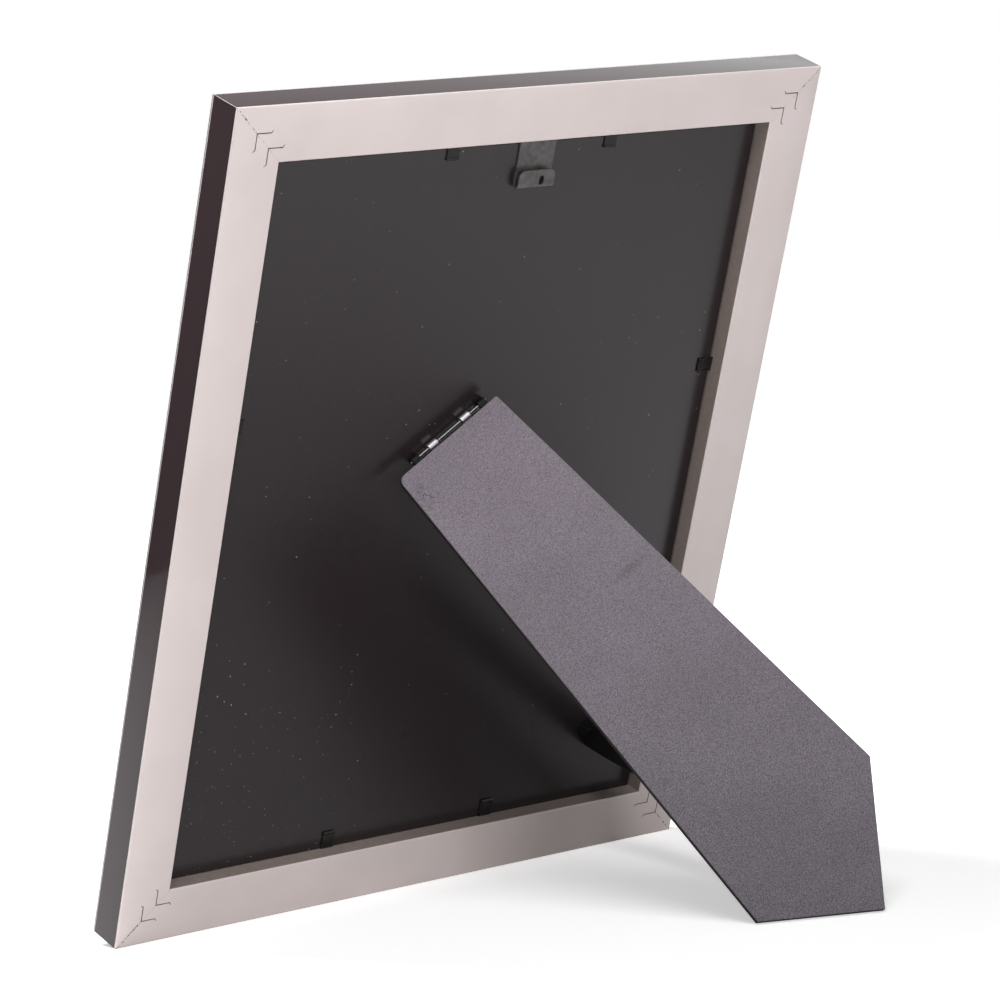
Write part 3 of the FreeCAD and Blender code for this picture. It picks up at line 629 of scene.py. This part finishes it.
def carve(piece, cutter):
    """Subtract one object from another and keep the result as the piece's mesh."""
    modifier = piece.modifiers.new("slots", "BOOLEAN")
    modifier.operation = "DIFFERENCE"
    modifier.solver = "MANIFOLD"
    modifier.object = cutter
    carved = bpy.data.meshes.new_from_object(piece.evaluated_get(bpy.context.evaluated_depsgraph_get()))
    piece.modifiers.remove(modifier)
    piece.data = carved
    bpy.data.objects.remove(cutter)
    bm = bmesh.new()
    bm.from_mesh(carved)
    bmesh.ops.remove_doubles(bm, verts=bm.verts, dist=WELD)
    # What is flat becomes one face before it is cut into triangles again, which leaves no slivers.
    bmesh.ops.dissolve_limit(bm, angle_limit=math.radians(FLAT_ANGLE), verts=bm.verts, edges=bm.edges,
                             delimit={"MATERIAL"})
    bmesh.ops.triangulate(bm, faces=bm.faces)
    bmesh.ops.dissolve_degenerate(bm, dist=WELD, edges=bm.edges)
    bmesh.ops.recalc_face_normals(bm, faces=bm.faces)
    open_edges = sum(1 for edge in bm.edges if not edge.is_manifold)
    bm.to_mesh(carved)
    bm.free()
    carved.set_sharp_from_angle(angle=math.radians(SHARP_ANGLE))
    return open_edges


def slot_cutter(place):
    """All slots of the rail at one place, as one object."""
    bm = bmesh.new()
    for corner_name, corner_sides in CORNERS.items():
        if place in corner_name.split("_"):
            for apex in NAIL_APEXES:
                outline = slot_outline(apex, place in ("left", "right"))
                join_into(bm, corner_prism(*corner_sides, outline, -NAIL_HEIGHT, EDGE_ROUND))
    for face in bm.faces:
        face.material_index = WALL
    return to_object("slots_" + place, bm, *RAIL_MATERIALS)


for name, rail in rails.items():
    open_edges = carve(rail, slot_cutter(name.split("_")[1]))
    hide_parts(name)
    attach(rail, "frame")
    print(name, "carved:", len(rail.data.polygons), "faces,", open_edges, "open edges")

# %% Stand the nails in them
NAIL_COLOR = (0.050, 0.032, 0.020)
RUST_COLOR = (0.17, 0.11, 0.065)


def make_nail_steel():
    material, shader = new_material("nail_steel", NAIL_COLOR, roughness=0.6, Specular_IOR_Level=0.2)
    vary_color(material, shader, NAIL_COLOR, RUST_COLOR, scale=500, detail=3, start=0.40, stop=0.65)
    return material


nail_steel = make_nail_steel()
for corner_name, (side, top) in CORNERS.items():
    bm = bmesh.new()
    for apex in NAIL_APEXES:
        join_into(bm, corner_prism(side, top, nail_outline(apex), -NAIL_HEIGHT, -NAIL_SUNK))
    nails = to_object("nails_" + corner_name, bm, nail_steel)
    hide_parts("corner_nails_" + corner_name)
    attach(nails, "frame")
    print(nails.name, len(nails.data.polygons), "faces")

# %% [markdown]
# ## Backing board, glass and print
#
# The backing board keeps its CAD shape: it is flat, and the CAD model already has its rivet holes.
# Its paper is black with a satin surface, so what we see on it is mostly a soft reflection of the
# floor behind the frame. Dust shows up on black, so a few pale specks are scattered with a noise
# that is cut off near its top.

# %% Backing paper
PAPER_BLACK = (0.0150, 0.0100, 0.0115)
DUST_COLOR = (0.30, 0.29, 0.28)
DUST_SCALE = 1300
# Specks show where the noise is over this, and get their full strength a little above it.
DUST_RARITY = 0.87
DUST_EDGE = 0.015
DUST_STRENGTH = 0.7
# In the dusty place the noise counts from this much lower.
DUST_MORE = 0.045
DUSTY_PLACE = (80 * MM, 0, -95 * MM)
DUSTY_SIZE = (90 * MM, 90 * MM, 90 * MM)


def specks(material, speck, start):
    """A mask of the specks whose noise is over a level."""
    return map_range(material, speck, start, start + DUST_EDGE, 0, DUST_STRENGTH)


def add_dust(material, shader, base):
    """Pale specks where a fine noise peaks, with more of them near the lower left corner."""
    speck = noise(material, DUST_SCALE, detail=0)
    few = specks(material, speck, DUST_RARITY)
    many = specks(material, speck, DUST_RARITY - DUST_MORE)
    dusty = spot(material, frame_coordinates(material, MIDDLE), DUSTY_PLACE, DUSTY_SIZE)
    gathered = maths(material, "GREATER_THAN", dusty, noise(material, scale=60))
    peaks = maths(material, "MAXIMUM", few, maths(material, "MULTIPLY", many, gathered))
    color = blend_colors(material, peaks, base, DUST_COLOR)
    link(material, color, shader.inputs["Base Color"])


def make_backing_paper():
    material, shader = new_material("backing_paper", PAPER_BLACK, roughness=0.25, Specular_IOR_Level=0.58)
    vary_roughness(material, shader, scale=14, detail=3, low=0.22, high=0.29)
    add_dust(material, shader, PAPER_BLACK)
    add_bump(material, shader, noise(material, scale=2200), strength=0.06, distance=0.03 * MM)
    return material


def finish_node(node_name, material):
    """Give a CAD node its finish."""
    piece = frame["nodes"][node_name]
    piece.data.materials.clear()
    piece.data.materials.append(material)


backing_paper = make_backing_paper()
finish_node("backing_board", backing_paper)
print("finish", backing_paper.name)

# %% Glass and print sheet
GLASS_TINT = (0.96, 0.98, 0.97)
GLASS_IOR = 1.5
PRINT_WHITE = (0.80, 0.80, 0.78)
PRINT_SHADE = (0.76, 0.76, 0.745)


def make_glass():
    """Clear, with a mirror laid over it that grows towards grazing angles."""
    material, shader = new_material("picture_glass", GLASS_TINT, roughness=0.03, Metallic=1.0)
    mirror = add_node(material, "ShaderNodeFresnel", IOR=GLASS_IOR)
    link(material, mirror.outputs["Fac"], shader.inputs["Alpha"])
    return material


def make_print_paper():
    material, shader = new_material("print_paper", PRINT_WHITE, roughness=0.5)
    vary_color(material, shader, PRINT_WHITE, PRINT_SHADE, scale=6)
    return material


glass = make_glass()
print_paper = make_print_paper()
finish_node("glass", glass)
finish_node("print_sheet", print_paper)
print("finish", glass.name, print_paper.name)

# %% [markdown]
# ## Steel
#
# The frame's small fittings are steel, and most are black. The flex tabs and the staples have a black
# enamel, the hanger a thinner one that lets some grey through, and the hinge leaves a dull one, which
# has rubbed off where the knuckles of the board's leaf turn. The pin is dark and polished. The rivets
# are plain zinc.

# %% Steel finishes
ENAMEL_BLACK = (0.009, 0.008, 0.0085)
HANGER_COLOR = (0.042, 0.036, 0.037)
HANGER_WORN = (0.088, 0.078, 0.080)
HINGE_BLACK = (0.006, 0.005, 0.0055)
HINGE_BRIGHT = (0.34, 0.325, 0.345)
PIN_COLOR = (0.020, 0.018, 0.020)
ZINC_COLOR = (0.72, 0.72, 0.73)
# The knuckles' outer radius, and over how much more the bright steel fades.
KNUCKLE = 1.65 * MM
KNUCKLE_FADE = 0.15 * MM


def make_black_steel():
    material, shader = new_material("black_steel", ENAMEL_BLACK, roughness=0.3, Specular_IOR_Level=0.35)
    vary_roughness(material, shader, scale=600, detail=3, start=0.4, low=0.22, high=0.40)
    add_bump(material, shader, noise(material, scale=1800), strength=0.08, distance=0.03 * MM)
    return material


def make_hanger_steel():
    material, shader = new_material("hanger_steel", HANGER_COLOR, roughness=0.34, Specular_IOR_Level=0.6)
    vary_color(material, shader, HANGER_COLOR, HANGER_WORN, scale=400, detail=3, start=0.35)
    return material


def make_pin_steel():
    material, shader = new_material("pin_steel", PIN_COLOR, roughness=0.16, Specular_IOR_Level=1.0)
    vary_roughness(material, shader, scale=350, start=0.4, stop=0.6, low=0.12, high=0.22)
    return material


def make_zinc():
    material, shader = new_material("zinc_steel", ZINC_COLOR, roughness=0.28, Metallic=1.0)
    vary_roughness(material, shader, scale=900, detail=3, low=0.2, high=0.4)
    return material


def make_leaf_black():
    material, shader = new_material("leaf_black", HINGE_BLACK, roughness=0.45, Specular_IOR_Level=0.12)
    vary_roughness(material, shader, scale=500, detail=3, start=0.4, low=0.38, high=0.55)
    return material


def distance_from_pin(material):
    along, up, out = components(material, frame_coordinates(material, FOLDED))
    squares = [maths(material, "MULTIPLY", value, value) for value in (up, out)]
    return maths(material, "SQRT", maths(material, "ADD", *squares))


def make_hinge_steel():
    """Black enamel, rubbed bright where the knuckles turn."""
    material, shader = new_material("hinge_steel", HINGE_BLACK, roughness=0.45, Specular_IOR_Level=0.12)
    bright = map_range(material, distance_from_pin(material), KNUCKLE, KNUCKLE + KNUCKLE_FADE, 1, 0)
    color = blend_colors(material, bright, HINGE_BLACK, HINGE_BRIGHT)
    link(material, color, shader.inputs["Base Color"])
    link(material, bright, shader.inputs["Metallic"])
    return material


# %% Finish the steel fittings
black_steel = make_black_steel()
zinc = make_zinc()
for node_name in frame["nodes"]:
    if node_name.startswith("flex_tab"):
        finish_node(node_name, black_steel)
for node_name, material, slot_name in (
        ("hanger_clip", make_hanger_steel(), "black_steel"),
        ("hinge_pin", make_pin_steel(), "zinc_steel"),
        ("hinge_rivets_board", zinc, "zinc_steel"),
        ("hinge_rivets_strut", zinc, "zinc_steel"),
        ("ribbon_staple_board", black_steel, "zinc_steel"),
        ("ribbon_staple_strut", black_steel, "zinc_steel"),
        ("hinge_leaf_board", make_hinge_steel(), "zinc_steel"),
        ("hinge_leaf_strut", make_leaf_black(), "black_steel")):
    finish_node(node_name, material)
    print("finish", node_name, material.name)

# %% [markdown]
# ## The strut
#
# The strut is a thin hardboard with a flocked paper glued to its outer face. Flock is a stand of
# very short fibres: it has no gloss, it looks lighter at grazing angles, and its colour is mottled
# in grains of a few tenths of a millimetre. A Principled shader with sheen and two scales of noise
# gives that. Painted light and shade make the flock paler towards the top and darker at the foot,
# as a lamp above would light it. A few hairs of scuff at one corner and a smudge lower down are
# added too. The board's cut edge is black.

# %% Strut finishes
FLOCK_DARK = (0.106, 0.091, 0.106)
FLOCK_LIGHT = (0.272, 0.235, 0.272)
# The flock's grain at the foot in painted shade; the two colours above are its grain at the top in painted light.
FOOT_SHADE_DARK = (0.058, 0.052, 0.060)
FOOT_SHADE_LIGHT = (0.182, 0.165, 0.188)
MARK_COLOR = (0.035, 0.028, 0.032)
# From the ground up to this height the flock goes from painted shade at the foot to painted light at the top.
LIGHT_FALL_HEIGHT = 150 * MM
# A place on the strut and half sizes along the strut's three axes.
SCUFF = ((-22.5 * MM, -12.5 * MM, 5 * MM), (5 * MM, 7 * MM, 5 * MM))
SMUDGE = ((13 * MM, -74.6 * MM, 5 * MM), (9 * MM, 2.2 * MM, 5 * MM))
SMUDGE_STRENGTH = 0.3
# How far from the middle of its noise a hair of the scuff still shows.
HAIR_WIDTH = 0.035
EDGE_COLOR = (0.012, 0.009, 0.009)
EDGE_DARK = (0.010, 0.007, 0.007)
EDGE_LIGHT = (0.028, 0.021, 0.021)


def flock_marks(material):
    """A mask of the scuff and the smudge."""
    place = frame_coordinates(material, STRUT)
    ridge = maths(material, "ABSOLUTE", maths(material, "SUBTRACT", noise(material, scale=330), 0.5))
    hair = map_range(material, ridge, 0, HAIR_WIDTH, 1, 0)
    hair = maths(material, "MULTIPLY", hair, spot(material, place, *SCUFF))
    smudge = maths(material, "MULTIPLY", spot(material, place, *SMUDGE), SMUDGE_STRENGTH)
    return maths(material, "MAXIMUM", hair, smudge)


def make_flock():
    material, shader = new_material("flock", FLOCK_DARK, roughness=0.95, Specular_IOR_Level=0.15,
                                    Sheen_Weight=0.10, Sheen_Roughness=0.5)
    grain = patches(material, scale=2500, detail=3, start=0.36, stop=0.64, roughness=0.8)
    cloud = patches(material, scale=45, detail=3, start=0.35, stop=0.65, low=0.9, high=1.1)
    tone = maths(material, "MULTIPLY", grain, cloud)
    # Painted light and shade: the grain is lit at the top and shaded at the foot, blended by height.
    pale = blend_colors(material, tone, FLOCK_DARK, FLOCK_LIGHT)
    shaded_foot = blend_colors(material, tone, FOOT_SHADE_DARK, FOOT_SHADE_LIGHT)
    x, y, z = components(material, object_coordinates(material))
    painted_light_fall = map_range(material, z, 0, LIGHT_FALL_HEIGHT, 0, 1)
    color = blend_colors(material, painted_light_fall, shaded_foot, pale)
    color = blend_colors(material, flock_marks(material), color, MARK_COLOR)
    link(material, color, shader.inputs["Base Color"])
    add_bump(material, shader, grain, strength=0.5, distance=0.12 * MM)
    return material


def make_strut_edge():
    material, shader = new_material("strut_edge", EDGE_COLOR, roughness=0.7, Specular_IOR_Level=0.2)
    vary_color(material, shader, EDGE_DARK, EDGE_LIGHT, scale=1200, detail=4)
    return material


flock = make_flock()
strut_edge = make_strut_edge()
print("finish", flock.name, strut_edge.name)

# %% The strut's board and its facing
# Corners as (across, down) from the middle of the pin.
STRUT_TOP = 1.8 * MM
STRUT_CORNERS = [(-25.23 * MM, STRUT_TOP), (-36.65 * MM, 188.18 * MM), (-1.95 * MM, 213.24 * MM),
                 (29.72 * MM, 173.35 * MM), (19.23 * MM, STRUT_TOP)]
# How round the two top corners are, by the side they are on.
STRUT_ROUNDS = {-1: 2.4 * MM, 1: 0.6 * MM}
# Heights out of the strut, from the plane of the pin.
CORE_LOW = 1.6 * MM
CORE_HIGH = 4.6 * MM
FACING_HIGH = 5.0 * MM
CORE_ROUND = 0.1 * MM
FLOCK_ROUND = 0.3 * MM
STRUT_SHARP_ANGLE = 40


def strut_slab(low, high, softness):
    """The strut's outline as a slab, with two rounded top corners and a softened outer edge."""
    bm = extrude_outline([(x, -down, low) for x, down in STRUT_CORNERS], (0, 0, high - low))
    for side, radius in STRUT_ROUNDS.items():
        top_corner = edges_where(bm, lambda co: near(co.y, -STRUT_TOP) and co.x * side > 0)
        bevel(bm, top_corner, radius, segments=6)
    bevel(bm, edges_where(bm, lambda co: near(co.z, high)), softness, segments=3)
    put_in_place(bm, STRUT)
    return bm


strut_board = to_object("strut_core", strut_slab(CORE_LOW, CORE_HIGH, CORE_ROUND), strut_edge)
strut_facing = to_object("strut_flock", strut_slab(CORE_HIGH, FACING_HIGH, FLOCK_ROUND), flock)
for piece, node_name, slot_name in ((strut_board, "strut_board", "strut_board"),
                                    (strut_facing, "strut_facing", "flock")):
    smooth(piece, STRUT_SHARP_ANGLE)
    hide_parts(node_name)
    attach(piece, "strut")
    print(piece.name, len(piece.data.polygons), "faces")

# %% [markdown]
# ## The ribbon stay
#
# A satin ribbon keeps the strut from opening too far. One end is held on the board and the other on
# the strut, so when the strut folds, the ribbon lies down in the gap between them.

# %% Ribbon satin
SATIN_BLACK = (0.005, 0.0045, 0.005)


def make_satin():
    material, shader = new_material("ribbon_satin", SATIN_BLACK, roughness=0.4, Specular_IOR_Level=0.25)
    add_bump(material, shader, noise(material, scale=1500), strength=0.1, distance=0.05 * MM)
    return material


satin = make_satin()
print("finish", satin.name)

# %% Where the ribbon runs
# Places are (up the board, out of the back) in the hinge's folded frame.
RIBBON_WIDTH = 12 * MM
RIBBON_THICKNESS = 0.36 * MM
RIBBON_TAB = 10 * MM
RIBBON_BOW = 10 * MM
BOARD_FOLD = Vector((-160 * MM, -1.4 * MM))
STRUT_TAB_Z = 1.1 * MM
STRUT_FOLD_DOWN = 168 * MM
ARC_STEPS = 40
# Each tab has two points of the path before or after the arc.
ARC_FIRST = 2
ARC_LAST = ARC_FIRST + ARC_STEPS


def on_strut(down, out):
    """A place on the open strut as (up the board, out of the back)."""
    place = FOLDED.inverted() @ STRUT @ Vector((0, -down, out))
    return Vector((place.y, place.z))


def ribbon_path():
    """From the tab on the board along an arc of a circle to the tab on the strut."""
    end = on_strut(STRUT_FOLD_DOWN, STRUT_TAB_Z)
    chord = end - BOARD_FOLD
    away = Vector((-chord.y, chord.x)).normalized()
    radius = chord.length ** 2 / (8 * RIBBON_BOW) + RIBBON_BOW / 2
    centre = (BOARD_FOLD + end) / 2 - away * (radius - RIBBON_BOW)
    half = math.asin(chord.length / (2 * radius))
    points = [BOARD_FOLD + Vector((RIBBON_TAB, 0)), BOARD_FOLD + Vector((RIBBON_TAB / 2, 0))]
    for step in range(ARC_STEPS + 1):
        angle = half * (1 - 2 * step / ARC_STEPS)
        points.append(centre + away * radius * math.cos(angle)
                      - chord.normalized() * radius * math.sin(angle))
    points += [on_strut(STRUT_FOLD_DOWN - RIBBON_TAB / 2, STRUT_TAB_Z),
               on_strut(STRUT_FOLD_DOWN - RIBBON_TAB, STRUT_TAB_Z)]
    return points


path = ribbon_path()


def length_between(first, last):
    """How long the ribbon's path is from one of its points to another."""
    return sum((path[index + 1] - path[index]).length for index in range(first, last))


print("ribbon", round(length_between(0, len(path) - 1) / MM, 1), "mm long")

# %% Weave it
RIBBON_STEPS_ACROSS = 8
RIBBON_SHARP_ANGLE = 50
# The ribbon is woven in three lengths that meet edge to edge.
SEAM_STEPS = 5
SEAMS = (0, ARC_FIRST + SEAM_STEPS, ARC_LAST - SEAM_STEPS, len(path) - 1)
RIBBON_LENGTHS = {
    "ribbon_board_end": ["backing_board"],
    "ribbon_middle": ["ribbon_board_end", "ribbon_strut_end"],
    "ribbon_strut_end": ["strut_board"],
}


def sweep_strip(points, first, last, width, thickness):
    """The part of a flat strip along a path from its first to its last point, closed all round."""
    bm = bmesh.new()
    steps = last - first
    bmesh.ops.create_grid(bm, x_segments=RIBBON_STEPS_ACROSS, y_segments=steps, size=0.5)
    for vert in bm.verts:
        index = first + round((vert.co.y + 0.5) * steps)
        ahead = (points[min(index + 1, len(points) - 1)] - points[max(index - 1, 0)]).normalized()
        place = points[index] + Vector((-ahead.y, ahead.x)) * thickness / 2
        vert.co = Vector((vert.co.x * width, place.x, place.y))
    for vert in moved_points(bmesh.ops.extrude_face_region(bm, geom=bm.faces[:])):
        place = Vector((vert.co.y, vert.co.z))
        index = min(range(first, last + 1), key=lambda number: (points[number] - place).length)
        vert.co += (Vector((0, *points[index])) - Vector((0, *place))) * 2
    put_in_place(bm, FOLDED)
    return bm


ribbon_lengths = []
for (name, held_by), first, last in zip(RIBBON_LENGTHS.items(), SEAMS, SEAMS[1:]):
    piece = to_object(name, sweep_strip(path, first, last, RIBBON_WIDTH, RIBBON_THICKNESS), satin)
    smooth(piece, RIBBON_SHARP_ANGLE)
    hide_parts("ribbon_stay")
    length = length_between(first, last)
    ribbon_lengths.append(piece)
    print(piece.name, round(length / MM, 1), "mm,", len(piece.data.polygons), "faces")

# %% [markdown]
# A straight ribbon needs an even turn along its length, or it cuts through the strut when that folds.
# Here each of the three lengths only gets its placement baked into its points.


def blend_length(piece):
    """Bake the placement of one length into its points."""
    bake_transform(piece)


for piece, first, last in zip(ribbon_lengths, SEAMS, SEAMS[1:]):
    blend_length(piece)

# %% [markdown]
# ## Floor and light
#
# A plain white floor runs out of sight. The world is white to the camera and to reflections, and as a
# light it is nearly off, so that the lamps alone shade the object. Four large soft lamps stand on the
# side that the camera sees, and a fifth lights the frame's front.

# %% Floor
WHITE = (1, 1, 1, 1)
FLOOR_COLOR = (0.86, 0.86, 0.86)
FLOOR_SIZE = 6.0
# The floor glows for the camera alone, and less near the object, where its shadow shows. The
# glow grows between these two distances from the origin.
NEAR_GLOW = 0.5
NEAR_FLOOR = 0.15
FAR_FLOOR = 0.5


def make_floor_paper():
    material, shader = new_material("floor_paper", FLOOR_COLOR, roughness=0.9, Specular_IOR_Level=0.1)
    away = length_of(material, object_coordinates(material))
    glow = map_range(material, away, NEAR_FLOOR, FAR_FLOOR, NEAR_GLOW, 1)
    rays = add_node(material, "ShaderNodeLightPath").outputs
    seen = maths(material, "MULTIPLY", rays["Is Camera Ray"], glow)
    shader.inputs["Emission Color"].default_value = WHITE
    link(material, seen, shader.inputs["Emission Strength"])
    return material


def add_floor():
    bm = bmesh.new()
    bmesh.ops.create_grid(bm, x_segments=1, y_segments=1, size=FLOOR_SIZE / 2)
    floor = to_object("floor", bm, make_floor_paper())
    return floor


floor = add_floor()
print("floor", FLOOR_SIZE, "m wide")

# %% World and lamps
WORLD_LIGHT = 0.03
# For each lamp: its place and size in metres, and its power in watts.
LAMPS = {
    "key_lamp": ((0.3, 0.4, 0.9), 0.5, 4.7),
    "fill_lamp": ((0.25, 1.3, 0.12), 0.6, 8.9),
    "low_lamp": ((0.8, 1.1, 0.2), 0.8, 2.7),
    "side_lamp": ((-0.3, 1.2, 0.3), 0.8, 1.3),
    "rim_lamp": ((0.2, -0.5, 0.9), 0.5, 14.5),
}
LAMPS_AIM = Vector((0, 0, 0.12))


def make_world():
    """White to the camera, in reflections and through glass, and nearly dark as a light."""
    world = bpy.data.worlds.new("studio")
    world.use_nodes = True
    background = world.node_tree.nodes["Background"]
    background.inputs["Color"].default_value = WHITE
    rays = add_node(world, "ShaderNodeLightPath").outputs
    seen = maths(world, "MAXIMUM", rays["Is Camera Ray"], rays["Is Glossy Ray"])
    seen = maths(world, "MAXIMUM", seen, rays["Is Transmission Ray"])
    link(world, map_range(world, seen, 0, 1, WORLD_LIGHT, 1), background.inputs["Strength"])
    bpy.context.scene.world = world


def add_lamp(name, place, size, power):
    data = bpy.data.lights.new(name, "AREA")
    data.shape = "DISK"
    data.size = size
    data.energy = power
    lamp = bpy.data.objects.new(name, data)
    bpy.context.scene.collection.objects.link(lamp)
    aim = (LAMPS_AIM - Vector(place)).to_track_quat("-Z", "Y").to_matrix().to_4x4()
    lamp.matrix_world = Matrix.Translation(place) @ aim
    return lamp


make_world()
lamps = {name: add_lamp(name, *settings) for name, settings in LAMPS.items()}
# Glossy pieces don't mirror this lamp, which keeps white disks out of the glass and the foil.
lamps["rim_lamp"].visible_glossy = False
bpy.context.scene.view_settings.view_transform = "Standard"
print("lamps", list(lamps))

# %% [markdown]
# A black card beyond the floor's near part gives the glossy left side something dark to reflect.
# Photographers call it a flag. Only reflections see it, so it casts no shadow and stays out of
# every picture.

# %% The black card
CARD_COLOR = (0.02, 0.02, 0.02)
CARD_PLACE = Vector((0.68, -0.76, 0.0))
CARD_WIDTH = 1.0
CARD_HEIGHT = 1.6


def add_card():
    material, shader = new_material("black_card", CARD_COLOR, roughness=1.0, Specular_IOR_Level=0.0)
    bm = bmesh.new()
    bmesh.ops.create_grid(bm, x_segments=1, y_segments=1, size=0.5)
    bmesh.ops.scale(bm, vec=(CARD_WIDTH, CARD_HEIGHT, 1), verts=bm.verts)
    facing = CARD_PLACE.to_track_quat("Z", "Y").to_matrix().to_4x4()
    middle = CARD_PLACE + Vector((0, 0, CARD_HEIGHT / 2))
    bmesh.ops.transform(bm, matrix=Matrix.Translation(middle) @ facing, verts=bm.verts)
    card = to_object("black_card", bm, material)
    card.visible_camera = False
    card.visible_diffuse = False
    card.visible_shadow = False
    card.visible_transmission = False
    return card


card = add_card()
print("card", card.name)
